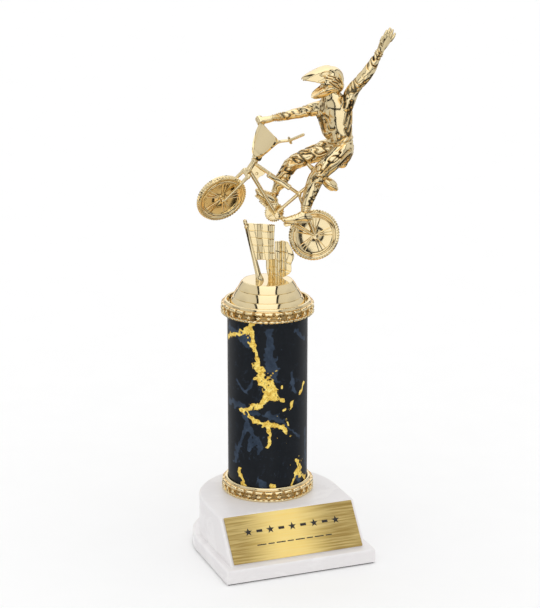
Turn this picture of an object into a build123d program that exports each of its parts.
from build123d import *
import math
import os

os.makedirs("parts", exist_ok=True)

# ---------------------------------------------------------------------------
# Driving dimensions, in millimetres.  The trophy stands on the XY plane, +Z up,
# with its nameplate facing -Y and the column's axis on Z.
# ---------------------------------------------------------------------------
felt_thickness = 0.8
felt_inset = 1.0
base_height = 30.0
slab_height = 8.3
base_middle_x = -1.9
slab_half_width = 43.4
slab_front = -58.3
tier_half_width = 39.5
tier_front_foot = -53.0
tier_front_top = -35.4
base_arc_y = -8.0
edge_round = 1.2

plate_width = 75.0
plate_height = 26.6
plate_thickness = 0.6
adhesive_thickness = 0.25

rod_radius = 3.1
rod_hole_radius = 3.5
rod_bottom = 3.6
nut_recess_radius = 10.5
nut_recess_top = 12.5
washer_radius = 8.5
washer_thickness = 1.4
nut_across_flats = 11.1
nut_height = 5.4

ring_height = 7.6
ring_socket_radius = 22.4
ring_web_bottom = 4.2
ring_web_top = 5.5
ring_lip_radius = 23.5
ring_flange_radius = 25.7
ring_band_radius = 26.1
ring_bead_radius = 25.2
ring_bead_count = 28

column_radius = 22.0
column_wall = 1.6
column_length = 101.6
wrap_thickness = 0.2

pedestal_height = 12.6
insert_radius = 5.2
insert_height = 8.0

column_bottom = base_height + ring_web_top
top_ring_bottom = column_bottom + column_length - ring_web_bottom
pedestal_bottom = top_ring_bottom + ring_web_top
pedestal_top = pedestal_bottom + pedestal_height
rod_top = pedestal_bottom + insert_height

# The figure has its own frame: its origin is the middle of the pedestal's top
# face, the bicycle heads for -X, and it is turned a little about Z.
figure_turn = -9.0
FIGURE = Plane(origin=(0, 0, pedestal_top)).rotated((0, 0, figure_turn))

tyre_radius = 14.3
tyre_half_width = 1.9
rim_radius = 11.2
wheel_disc_half = 0.45
hub_half_length = 2.5
spoke_count = 12
tube_radius = 0.95
stay_radius = 0.72
fork_radius = 0.85
bar_radius = 0.75
grip_radius = 1.25

rear_hub_at = (26.1, 0, 23.8)
front_hub_at = (-25.4, 0, 47.0)
bottom_bracket_at = (4.5, 0, 36.9)
head_bottom_at = (-10.9, 0, 61.0)
head_top_at = (-6.6, 0, 67.4)
seat_cluster_at = (17.4, 0, 47.3)
bar_clamp_at = (-5.6, 0, 68.8)
bars_middle_at = (1.3, 0, 81.6)
bars_half_span = (2.55, -9.6, -3.05)


def fig(x, y, z):
    """A point given in the figure's frame, as a vector in the trophy's frame."""
    return FIGURE.from_local_coords(Vector(x, y, z))


def turned(x, y, z):
    """A direction given in the figure's frame, as a vector in the trophy's frame."""
    return fig(x, y, z) - fig(0, 0, 0)


def bar(start, end, start_radius, end_radius=None):
    """Add a round bar, straight or tapered, from one point to another."""
    end_radius = start_radius if end_radius is None else end_radius
    along = end - start
    with Locations(Plane(origin=start, z_dir=along)):
        if abs(start_radius - end_radius) < 0.01:
            Cylinder(start_radius, along.length, align=(Align.CENTER, Align.CENTER, Align.MIN))
        else:
            Cone(start_radius, end_radius, along.length,
                 align=(Align.CENTER, Align.CENTER, Align.MIN))


def ball(centre, radius):
    """Add a ball."""
    with Locations(centre):
        Sphere(radius)


def limb(points, radii):
    """Add a chain of tapered bars with a ball at every joint."""
    for start, end, r_start, r_end in zip(points, points[1:], radii, radii[1:]):
        bar(start, end, r_start, r_end)
    for point, radius in zip(points, radii):
        ball(point, radius * 1.02)


def finish(piece, name):
    """Label a finished sub-part and write it."""
    piece.part.label = name
    export_step(piece.part, f"parts/{name}.step")


# ---------------------------------------------------------------------------
# Base: felt, marble body, nameplate on its tape, and the clamping hardware.
# ---------------------------------------------------------------------------
def d_outline(half_width, front):
    """Draw the base's outline: straight front and sides with a round back."""
    with BuildLine() as outline:
        left, right = base_middle_x - half_width, base_middle_x + half_width
        Polyline((right, base_arc_y), (right, front), (left, front), (left, base_arc_y))
        ThreePointArc((left, base_arc_y), (base_middle_x, base_arc_y + half_width),
                      (right, base_arc_y))
    make_face(outline.edges())


with BuildPart() as base_felt:
    with BuildSketch():
        d_outline(slab_half_width - felt_inset, slab_front + felt_inset)
    extrude(amount=felt_thickness)
finish(base_felt, "base_felt")

with BuildPart() as marble_base:
    with BuildSketch(Plane.XY.offset(felt_thickness)):
        d_outline(tier_half_width, tier_front_foot)
    extrude(amount=base_height - felt_thickness)
    with BuildSketch(Plane.YZ.offset(base_middle_x)):
        Polygon((tier_front_foot, slab_height), (tier_front_top, base_height),
                (tier_front_top, base_height + 10), (tier_front_foot - 10, base_height + 10),
                (tier_front_foot - 10, slab_height), align=None)
    extrude(amount=slab_half_width, both=True, mode=Mode.SUBTRACT)
    slope = marble_base.faces().filter_by(lambda f: abs(f.normal_at().X) < 0.01
                                          and 0.1 < f.normal_at().Z < 0.9)
    top = marble_base.faces().sort_by(Axis.Z)[-1:]
    soft = ShapeList(top[0].edges() + slope[0].edges())
    fillet(soft.filter_by_position(Axis.Z, slab_height + 0.1, base_height + 1), edge_round)
    with BuildSketch(Plane.XY.offset(felt_thickness)):
        d_outline(slab_half_width, slab_front)
    extrude(amount=slab_height - felt_thickness)
    rim = marble_base.edges().filter_by_position(Axis.Z, slab_height - 0.1, slab_height + 0.1)
    corners = marble_base.edges().filter_by(Axis.Z).sort_by(Axis.Y)[0:2]
    fillet(ShapeList(rim.filter_by(lambda e: e.center().Y < slab_front + 1
                                   or abs(e.center().X - base_middle_x) > slab_half_width - 1
                                   or e.bounding_box().max.Y > base_arc_y + slab_half_width - 1)
                     + corners), edge_round)
    with Locations((0, 0, felt_thickness)):
        Cylinder(nut_recess_radius, nut_recess_top - felt_thickness,
                 align=(Align.CENTER, Align.CENTER, Align.MIN), mode=Mode.SUBTRACT)
    Cylinder(rod_hole_radius, base_height * 3, mode=Mode.SUBTRACT)
finish(marble_base, "marble_base")

plate_tilt = math.degrees(math.atan2(base_height - slab_height, tier_front_top - tier_front_foot))
slope_middle = (base_middle_x, (tier_front_foot + tier_front_top) / 2, (slab_height + base_height) / 2)
SLOPE = Plane(origin=slope_middle, x_dir=(1, 0, 0),
              z_dir=(0, -math.sin(math.radians(plate_tilt)), math.cos(math.radians(plate_tilt))))

with BuildPart() as plate_adhesive:
    with BuildSketch(SLOPE):
        Rectangle(plate_width - 4, plate_height - 3)
    extrude(amount=adhesive_thickness)
finish(plate_adhesive, "plate_adhesive")

with BuildPart() as nameplate:
    with BuildSketch(SLOPE.offset(adhesive_thickness)):
        RectangleRounded(plate_width, plate_height, 0.4)
    extrude(amount=plate_thickness)
finish(nameplate, "nameplate")

washer_bottom = nut_recess_top - washer_thickness
with BuildPart() as rod_washer:
    with BuildSketch(Plane.XY.offset(washer_bottom)):
        Circle(washer_radius)
        Circle(rod_hole_radius, mode=Mode.SUBTRACT)
    extrude(amount=washer_thickness)
finish(rod_washer, "rod_washer")

with BuildPart() as rod_nut:
    with BuildSketch(Plane.XY.offset(washer_bottom - nut_height)):
        RegularPolygon(nut_across_flats / 2, 6, major_radius=False)
        Circle(rod_radius, mode=Mode.SUBTRACT)
    extrude(amount=nut_height)
    outer = rod_nut.edges().filter_by(Plane.XY).filter_by(GeomType.LINE)
    chamfer(outer, 0.5)
finish(rod_nut, "rod_nut")

with BuildPart() as threaded_rod:
    with BuildSketch(Plane.XY.offset(rod_bottom)):
        Circle(rod_radius)
    extrude(amount=rod_top - rod_bottom)
    chamfer(threaded_rod.edges(), 0.5)
finish(threaded_rod, "threaded_rod")


# ---------------------------------------------------------------------------
# Column: the tube in its printed wrap, between two trim rings of one pattern.
# ---------------------------------------------------------------------------
def ring_profile():
    """Draw half the trim ring's section, on the plane of X and Z, from its bottom up."""
    Polygon((rod_hole_radius, ring_web_bottom), (ring_socket_radius, ring_web_bottom),
            (ring_socket_radius, 0), (ring_flange_radius, 0), (ring_flange_radius, 1.0),
            (ring_band_radius, 1.4), (ring_band_radius, 4.2), (ring_bead_radius - 0.7, 4.6),
            (ring_bead_radius - 0.7, 6.2), (ring_lip_radius, 6.6), (ring_lip_radius, ring_height),
            (ring_socket_radius, ring_height), (ring_socket_radius, ring_web_top),
            (rod_hole_radius, ring_web_top), align=None)


def trim_ring(bottom):
    """Add a whole trim ring with its row of beads to the open part."""
    with BuildSketch(Plane(origin=(0, 0, bottom), x_dir=(1, 0, 0), z_dir=(0, -1, 0))) as section:
        ring_profile()
    revolve(section.sketch, axis=Axis.Z)
    with BuildSketch(Plane.XY.offset(bottom + 4.7)) as beads:
        with PolarLocations(ring_bead_radius - 0.6, ring_bead_count):
            RectangleRounded(1.2, 4.4, 0.4)
    extrude(beads.sketch, amount=1.4)


with BuildPart() as bottom_trim_ring:
    trim_ring(base_height)
finish(bottom_trim_ring, "bottom_trim_ring")

with BuildPart() as top_trim_ring:
    trim_ring(top_ring_bottom)
finish(top_trim_ring, "top_trim_ring")

with BuildPart() as column_tube:
    with BuildSketch(Plane.XY.offset(column_bottom)):
        Circle(column_radius)
        Circle(column_radius - column_wall, mode=Mode.SUBTRACT)
    extrude(amount=column_length)
finish(column_tube, "column_tube")

with BuildPart() as column_wrap:
    with BuildSketch(Plane.XY.offset(column_bottom)):
        Circle(column_radius + wrap_thickness)
        Circle(column_radius, mode=Mode.SUBTRACT)
    extrude(amount=column_length)
finish(column_wrap, "column_wrap")

# ---------------------------------------------------------------------------
# Pedestal of the figure: three stepped bells over a threaded insert.
# ---------------------------------------------------------------------------
with BuildPart() as figure_pedestal:
    with BuildSketch(Plane.XZ) as bell:
        with BuildLine():
            Polyline((insert_radius, pedestal_bottom), (20.9, pedestal_bottom))
            Polyline((20.9, pedestal_bottom), (20.9, pedestal_bottom + 0.8))
            Spline((20.9, pedestal_bottom + 0.8), (20.3, pedestal_bottom + 2.6),
                   (19.2, pedestal_bottom + 3.8))
            Polyline((19.2, pedestal_bottom + 3.8), (18.7, pedestal_bottom + 3.8))
            Spline((18.7, pedestal_bottom + 3.8), (18.0, pedestal_bottom + 6.2),
                   (16.7, pedestal_bottom + 8.1))
            Polyline((16.7, pedestal_bottom + 8.1), (16.2, pedestal_bottom + 8.1))
            Spline((16.2, pedestal_bottom + 8.1), (15.4, pedestal_bottom + 10.6),
                   (13.9, pedestal_top - 0.3))
            Polyline((13.9, pedestal_top - 0.3), (13.5, pedestal_top), (0, pedestal_top),
                     (0, rod_top), (insert_radius, rod_top), (insert_radius, pedestal_bottom))
        make_face()
    revolve(axis=Axis.Z)
finish(figure_pedestal, "figure_pedestal")

with BuildPart() as pedestal_insert:
    with BuildSketch(Plane.XY.offset(pedestal_bottom)):
        Circle(insert_radius)
        Circle(rod_radius, mode=Mode.SUBTRACT)
    extrude(amount=insert_height)
finish(pedestal_insert, "pedestal_insert")


# ---------------------------------------------------------------------------
# Chequered flags, whose poles and lower hems stand on the pedestal.
# ---------------------------------------------------------------------------
def outline_on_figure(points, depth, depth_at=0.0, mode=Mode.ADD):
    """Extrude an outline drawn in the figure's X and Z, by half its depth each way."""
    side = Plane(origin=fig(0, depth_at, 0), x_dir=turned(1, 0, 0), z_dir=turned(0, -1, 0))
    with BuildSketch(side) as sketch:
        Polygon(*points, align=None)
    extrude(sketch.sketch, amount=depth / 2, both=True, mode=mode)


def waved_cloth(outline, wave_points, thickness):
    """Add a flag: its outline, kept where it meets a wavy upright sheet."""
    outline_on_figure(outline, 12)
    ground = Plane(origin=fig(0, 0, -2), x_dir=turned(1, 0, 0), z_dir=(0, 0, 1))
    with BuildSketch(ground) as ribbon:
        with BuildLine() as edges:
            front = Spline(*[(x, y - thickness / 2) for x, y in wave_points])
            back = Spline(*[(x, y + thickness / 2) for x, y in wave_points])
            Line(front @ 0, back @ 0)
            Line(front @ 1, back @ 1)
        make_face(edges.edges())
    extrude(ribbon.sketch, amount=60, mode=Mode.INTERSECT)


pole_foot = fig(-4.5, -1, 0)
pole_knop = fig(-12.5, -1, 33.0)
with BuildPart() as flag_pole:
    bar(pole_foot + turned(0.5, 0, -2.0), pole_knop, 1.65, 0.95)
    ball(pole_knop, 1.2)
    split(bisect_by=Plane(origin=(0, 0, pedestal_top), z_dir=(0, 0, 1)), keep=Keep.TOP)
finish(flag_pole, "flag_pole")

with BuildPart() as front_flag:
    waved_cloth([(-12.0, 32.6), (-8.0, 33.4), (3.8, 30.9), (3.9, 11.4), (-2.6, 12.8), (-6.4, 12.0)],
                [(-14, -1.2), (-9, -0.6), (-5, -2.0), (-1, -1.0), (3, -0.2), (6, -1.4)], 1.7)
    add(flag_pole.part, mode=Mode.SUBTRACT)
finish(front_flag, "front_flag")

with BuildPart() as rear_flag:
    waved_cloth([(-0.6, 0), (-0.6, 11.0), (3.9, 11.4), (4.2, 21.2), (11.6, 20.6), (15.3, 12.6),
                 (13.3, 6.0), (13.0, 3.2), (7.4, 0)],
                [(-2, 1.6), (1, -0.2), (4, 2.2), (7, 0.4), (10, 2.2), (13, 1.0), (17, 2.4)], 2.2)
    add(front_flag.part, mode=Mode.SUBTRACT)
finish(rear_flag, "rear_flag")


# ---------------------------------------------------------------------------
# Bicycle.
# ---------------------------------------------------------------------------
def wheel(centre, axle):
    """Add a moulded wheel: tyre, rim step, solid disc, raised spokes and hub."""
    across = Plane(origin=centre, z_dir=axle)
    half = tyre_half_width
    with BuildPart(mode=Mode.PRIVATE) as blank:
        with BuildSketch(Plane.XZ):
            with BuildLine():
                Polyline((0, -hub_half_length), (1.3, -hub_half_length), (1.5, -wheel_disc_half),
                         (rim_radius - 0.9, -wheel_disc_half), (rim_radius - 0.5, -1.2),
                         (rim_radius, -1.4))
                ThreePointArc((rim_radius, -1.4), (12.5, -half), (13.9, -1.1))
                ThreePointArc((13.9, -1.1), (tyre_radius, 0), (13.9, 1.1))
                ThreePointArc((13.9, 1.1), (12.5, half), (rim_radius, 1.4))
                Polyline((rim_radius, 1.4), (rim_radius - 0.5, 1.2),
                         (rim_radius - 0.9, wheel_disc_half), (1.5, wheel_disc_half),
                         (1.3, hub_half_length), (0, hub_half_length), (0, -hub_half_length))
            make_face()
        revolve(axis=Axis.Z)
        with BuildSketch():
            with PolarLocations(rim_radius / 2 + 0.1, spoke_count):
                Rectangle(rim_radius - 2.0, 0.7)
        extrude(amount=wheel_disc_half + 0.35, both=True)
    add(across.from_local_coords(blank.part))


steer_near = turned(0.22, -0.89, -0.39).normalized()

with BuildPart() as rear_wheel:
    wheel(fig(*rear_hub_at), turned(0, -1, 0))
finish(rear_wheel, "rear_wheel")

with BuildPart() as front_wheel:
    wheel(fig(*front_hub_at), steer_near)
finish(front_wheel, "front_wheel")

head_bottom = fig(*head_bottom_at)
head_top = fig(*head_top_at)
steer_up = (head_top - head_bottom).normalized()
bottom_bracket = fig(*bottom_bracket_at)
seat_cluster = fig(*seat_cluster_at)
rear_hub = fig(*rear_hub_at)
front_hub = fig(*front_hub_at)
near = turned(0, -1, 0)
dropout_offset = hub_half_length + 0.75

with BuildPart() as bike_frame:
    bar(head_bottom, head_top, 1.75)
    bar(head_bottom + steer_up * 0.8, bottom_bracket, tube_radius)
    bar(head_top - steer_up * 2.4, seat_cluster, tube_radius)
    bar(seat_cluster, bottom_bracket, tube_radius)
    bar(bottom_bracket - near * 2.6, bottom_bracket + near * 2.6, 1.7)
    ball(seat_cluster, 1.3)
    outline_on_figure([(-9.6, 62.0), (-7.4, 64.0), (-1.2, 60.0), (-4.6, 57.4),
                       (-6.0, 54.2)], 0.9)
    for side in (-1, 1):
        dropout = rear_hub + near * side * dropout_offset
        limb([bottom_bracket + near * side * 2.4, dropout], [stay_radius, stay_radius])
        limb([seat_cluster + near * side * 2.4, dropout], [stay_radius, stay_radius])
        bar(dropout - near * 0.7, dropout + near * 0.7, 1.6)
    bar(seat_cluster - near * 2.4, seat_cluster + near * 2.4, 0.7)
    with Locations(Plane(origin=fig(-6.1, 0, 59.6), z_dir=near)):
        Hole(0.55, depth=6)
    add(rear_wheel.part, mode=Mode.SUBTRACT)
finish(bike_frame, "bike_frame")

with BuildPart() as top_tube_pad:
    bar(fig(0.4, 0, 58.8), fig(12.4, 0, 50.9), 1.6)
    add(bike_frame.part, mode=Mode.SUBTRACT)
finish(top_tube_pad, "top_tube_pad")

crown = head_bottom - steer_up * 1.5
with BuildPart() as fork:
    bar(crown, head_bottom, 1.5)
    bar(crown - steer_near * 2.9, crown + steer_near * 2.9, 1.05)
    for side in (-1, 1):
        shoulder = crown + steer_near * side * 2.9
        dropout = front_hub + steer_near * side * (dropout_offset + 0.1)
        limb([shoulder, dropout], [fork_radius * 1.25, fork_radius * 0.85])
        bar(dropout - steer_near * 0.7, dropout + steer_near * 0.7, 1.35)
    add(front_wheel.part, mode=Mode.SUBTRACT)
    add(bike_frame.part, mode=Mode.SUBTRACT)
finish(fork, "fork")

bar_clamp = fig(*bar_clamp_at)
bars_middle = fig(*bars_middle_at)
bars_half = turned(*bars_half_span)
near_bend = bars_middle + bars_half
far_bend = bars_middle - bars_half
near_flange = fig(9.8, -11.6, 79.3)
near_tip = fig(16.3, -15.0, 82.8)
far_tip = fig(-2.2, 14.6, 87.6)
across_bars = bars_half.normalized()

with BuildPart() as handlebar:
    limb([far_tip, far_bend, bar_clamp - across_bars * 1.6, bar_clamp + across_bars * 1.6,
          near_bend, near_flange, near_tip], [bar_radius] * 7)
    bar(far_bend, near_bend, bar_radius * 0.85)
    bar(head_top, bar_clamp, 1.3)
    ball(bar_clamp, 1.75)
    add(bike_frame.part, mode=Mode.SUBTRACT)
finish(handlebar, "handlebar")

with BuildPart() as bar_grips:
    grip_start = near_flange + (near_tip - near_flange) * 0.12
    bar(near_flange, grip_start, 1.9)
    bar(grip_start, near_tip, 0.75)
    bar(far_bend + (far_tip - far_bend) * 0.35, far_tip, grip_radius)
    add(handlebar.part, mode=Mode.SUBTRACT)
finish(bar_grips, "bar_grips")

plate_up = (bars_middle - bar_clamp).normalized()
PLATE = Plane(origin=bars_middle, x_dir=across_bars, z_dir=across_bars.cross(plate_up))
with BuildPart() as number_plate:
    with BuildSketch(PLATE.offset(0.9)):
        with BuildLine():
            Polyline((-9.6, 0.9), (9.6, 0.9))
            Spline((9.6, 0.9), (9.9, -3.4), (4.2, -13.4), (0, -14.6), (-4.2, -13.4),
                   (-9.9, -3.4), (-9.6, 0.9))
        make_face()
    extrude(amount=0.8)
    add(handlebar.part, mode=Mode.SUBTRACT)
finish(number_plate, "number_plate")

far_side = fig(bottom_bracket_at[0], 3.3, bottom_bracket_at[2])
with BuildPart() as chainring:
    with BuildSketch(Plane(origin=far_side, z_dir=near)):
        Circle(5.4)
        Circle(1.6, mode=Mode.SUBTRACT)
        with PolarLocations(3.4, 5):
            Circle(1.1, mode=Mode.SUBTRACT)
        with PolarLocations(5.4, 28):
            Rectangle(0.7, 0.6)
    extrude(amount=0.9 / 2, both=True)
    add(bike_frame.part, mode=Mode.SUBTRACT)
finish(chainring, "chainring")

near_pedal = fig(10.6, -6.6, 32.4)
far_pedal = fig(-1.0, 6.6, 40.4)
near_crank_end = fig(10.6, -4.3, 32.4)
far_crank_end = fig(-1.0, 4.3, 40.4)
with BuildPart() as crank_set:
    for side, crank_end in ((1, near_crank_end), (-1, far_crank_end)):
        axle_end = bottom_bracket + near * side * 4.3
        bar(bottom_bracket + near * side * 2.6, axle_end, 1.4)
        limb([axle_end, crank_end], [1.0, 0.9])
    add(chainring.part, mode=Mode.SUBTRACT)
    add(bike_frame.part, mode=Mode.SUBTRACT)
finish(crank_set, "crank_set")

with BuildPart() as pedals:
    for crank_end, middle, reach, lean in ((near_crank_end, near_pedal, 1, 8),
                                           (far_crank_end, far_pedal, -1, -27)):
        bar(crank_end, middle + near * reach * 2.2, 0.55)
        block = Plane(origin=middle, x_dir=turned(math.cos(math.radians(lean)), 0,
                                                  math.sin(math.radians(lean))), z_dir=near)
        with BuildSketch(block) as tread:
            Rectangle(5.0, 1.5)
        extrude(tread.sketch, amount=2.0, both=True)
    add(crank_set.part, mode=Mode.SUBTRACT)
finish(pedals, "pedals")

with BuildPart() as saddle:
    with BuildSketch(Plane(origin=fig(23.2, 0, 62.6), z_dir=turned(0.72, 0, -0.69))):
        Ellipse(1.1, 1.5)
    with BuildSketch(Plane(origin=fig(30.3, 0, 56.4), z_dir=turned(0.72, 0, -0.69))):
        Ellipse(2.0, 2.4)
    with BuildSketch(Plane(origin=fig(35.2, 0, 51.6), z_dir=turned(0.72, 0, -0.69))):
        Ellipse(2.3, 4.4)
    with BuildSketch(Plane(origin=fig(37.0, 0, 49.8), z_dir=turned(0.72, 0, -0.69))):
        Ellipse(1.5, 3.4)
    loft()
    bar(seat_cluster, fig(29.0, 0, 56.4), 0.95)
    add(bike_frame.part, mode=Mode.SUBTRACT)
finish(saddle, "saddle")


# ---------------------------------------------------------------------------
# Rider: a body in riding clothes, in sections that meet at the joints.
# ---------------------------------------------------------------------------
def body_loft(stations):
    """Loft ellipses; a station is its middle, its wide direction and two half widths."""
    middles = [fig(*station[0]) for station in stations]
    rings = []
    for index, (_, wide, half_wide, half_deep) in enumerate(stations):
        along = middles[min(index + 1, len(middles) - 1)] - middles[max(index - 1, 0)]
        wide = turned(*wide)
        wide = wide - along * (wide.dot(along) / along.dot(along))
        with BuildSketch(Plane(origin=middles[index], x_dir=wide, z_dir=along)) as ring:
            Ellipse(half_wide, half_deep)
        rings.append(ring.sketch)
    loft(rings)


helmet_middle = (34.6, 0, 109.2)
helmet_radius = 7.2
face_forward = (-0.90, 0, -0.44)

with BuildPart() as rider_head:
    ball(fig(33.6, 0, 108.0), 5.4)
    bar(fig(33.6, 0, 108.0), fig(34.6, 0, 97.5), 3.6)
finish(rider_head, "rider_head")

with BuildPart() as helmet:
    ball(fig(*helmet_middle), helmet_radius)
    body_loft([((33.8, 0, 106.2), (0, 1, 0), 5.9, 4.6), ((29.2, 0, 103.4), (0, 1, 0), 5.0, 3.8),
               ((24.6, 0, 101.2), (0, 1, 0), 2.6, 2.2)])
    opening = Plane(origin=fig(29.4, 0, 106.6), z_dir=turned(*face_forward))
    with BuildSketch(opening) as window:
        Ellipse(3.1, 4.1)
    extrude(window.sketch, amount=14, mode=Mode.SUBTRACT)
    with Locations(fig(33.6, 0, 108.0)):
        Sphere(5.6, mode=Mode.SUBTRACT)
    with Locations(Plane(origin=fig(33.9, 0, 104.0), z_dir=turned(0.1, 0, -1))):
        Cylinder(4.2, 14, align=(Align.CENTER, Align.CENTER, Align.MIN), mode=Mode.SUBTRACT)
finish(helmet, "helmet")

with BuildPart() as helmet_visor:
    outline_on_figure([(31.5, 117.2), (25.6, 115.4), (18.9, 111.3), (19.3, 110.2), (23.0, 110.4),
                       (27.4, 112.2), (30.6, 112.6)], 9.6)
    fillet(helmet_visor.edges().filter_by(lambda e: e.length > 9).sort_by(Axis.X)[0:2], 0.35)
    with Locations(fig(*helmet_middle)):
        Sphere(helmet_radius, mode=Mode.SUBTRACT)
finish(helmet_visor, "helmet_visor")

chest_wide = (0.77, -0.60, 0.30)
with BuildPart() as rider_torso:
    body_loft([((41.0, 0, 65.8), (0.3, -0.95, 0), 5.8, 4.4),
               ((41.0, 0, 71.2), (0.3, -0.95, 0), 7.8, 6.1),
               ((40.2, 0, 78.0), (0.6, -0.80, 0), 7.8, 6.4),
               ((38.2, 0, 87.5), chest_wide, 9.6, 6.6),
               ((36.8, 0, 94.5), chest_wide, 10.2, 6.0),
               ((35.6, 0, 99.4), chest_wide, 7.0, 4.4)])
    add(rider_head.part, mode=Mode.SUBTRACT)
    add(helmet.part, mode=Mode.SUBTRACT)
finish(rider_torso, "rider_torso")

with BuildPart() as left_arm:
    limb([fig(43.4, -5.0, 98.6), fig(46.6, -6.0, 105.6), fig(53.0, -7.0, 113.0),
          fig(60.0, -6.0, 124.4)], [4.2, 3.5, 3.3, 2.3])
    add(rider_torso.part, mode=Mode.SUBTRACT)
    add(helmet.part, mode=Mode.SUBTRACT)
finish(left_arm, "left_arm")

with BuildPart() as left_hand:
    body_loft([((60.2, -6.0, 124.4), (0.85, 0.3, -0.45), 1.9, 1.5),
               ((62.0, -5.8, 127.6), (0.85, 0.3, -0.45), 2.9, 1.5),
               ((64.4, -5.4, 131.4), (0.85, 0.3, -0.45), 3.1, 1.3)])
    for knuckle, tip in (((62.4, -6.0, 131.8), (64.0, -5.9, 135.4)),
                         ((64.0, -5.6, 131.6), (65.8, -5.4, 136.3)),
                         ((65.4, -5.1, 130.9), (67.3, -4.9, 135.4)),
                         ((66.5, -4.8, 130.0), (68.6, -4.6, 133.3))):
        limb([fig(*knuckle), fig(*tip)], [0.95, 0.75])
    limb([fig(61.0, -6.6, 128.2), fig(61.2, -7.2, 132.2)], [1.0, 0.75])
    add(left_arm.part, mode=Mode.SUBTRACT)
finish(left_hand, "left_hand")

with BuildPart() as right_arm:
    limb([fig(30.6, 5.0, 93.4), fig(16.6, 9.0, 89.6), fig(4.6, 11.2, 87.2)], [3.9, 2.8, 1.9])
    add(rider_torso.part, mode=Mode.SUBTRACT)
    add(helmet.part, mode=Mode.SUBTRACT)
finish(right_arm, "right_arm")

with BuildPart() as right_hand:
    limb([fig(4.4, 11.2, 87.2), fig(0.6, 11.8, 86.2), fig(-1.6, 11.6, 85.2)], [1.8, 2.3, 1.9])
    add(right_arm.part, mode=Mode.SUBTRACT)
    add(handlebar.part, mode=Mode.SUBTRACT)
    add(bar_grips.part, mode=Mode.SUBTRACT)
    add(number_plate.part, mode=Mode.SUBTRACT)
finish(right_hand, "right_hand")

with BuildPart() as left_shoe:
    body_loft([((21.6, -6.9, 34.6), (0, 1, 0), 1.9, 2.3), ((18.6, -6.9, 35.6), (0, 1, 0), 2.3, 3.2),
               ((13.0, -6.9, 35.0), (0, 1, 0), 2.4, 2.2), ((9.0, -6.9, 35.0), (0, 1, 0), 2.2, 1.5),
               ((7.0, -6.9, 35.1), (0, 1, 0), 1.4, 0.9)])
    add(pedals.part, mode=Mode.SUBTRACT)
    add(crank_set.part, mode=Mode.SUBTRACT)
    add(bike_frame.part, mode=Mode.SUBTRACT)
    add(rear_wheel.part, mode=Mode.SUBTRACT)
finish(left_shoe, "left_shoe")

with BuildPart() as right_shoe:
    body_loft([((6.8, 7.0, 41.8), (0, 1, 0), 1.8, 2.4), ((3.6, 7.0, 43.9), (0, 1, 0), 2.4, 3.6),
               ((0.2, 7.0, 45.2), (0, 1, 0), 2.4, 3.3), ((-3.2, 7.0, 46.9), (0, 1, 0), 2.1, 2.3),
               ((-4.8, 7.0, 47.8), (0, 1, 0), 1.4, 1.2)])
    add(pedals.part, mode=Mode.SUBTRACT)
    add(crank_set.part, mode=Mode.SUBTRACT)
    add(chainring.part, mode=Mode.SUBTRACT)
    add(bike_frame.part, mode=Mode.SUBTRACT)
finish(right_shoe, "right_shoe")

with BuildPart() as left_leg:
    limb([fig(41.4, -4.2, 70.2), fig(28.4, -7.0, 61.4), fig(23.4, -7.2, 52.8),
          fig(19.4, -6.9, 40.0)], [5.8, 4.9, 4.0, 3.0])
    for neighbour in (rider_torso, saddle, bike_frame, top_tube_pad, left_shoe, rear_wheel):
        add(neighbour.part, mode=Mode.SUBTRACT)
finish(left_leg, "left_leg")

with BuildPart() as right_leg:
    limb([fig(37.6, 4.2, 71.0), fig(16.0, 7.0, 63.6), fig(9.6, 7.0, 54.4),
          fig(6.2, 7.0, 48.0)], [5.6, 4.2, 3.9, 2.6])
    for neighbour in (rider_torso, left_leg, saddle, bike_frame, top_tube_pad, right_shoe):
        add(neighbour.part, mode=Mode.SUBTRACT)
finish(right_leg, "right_leg")
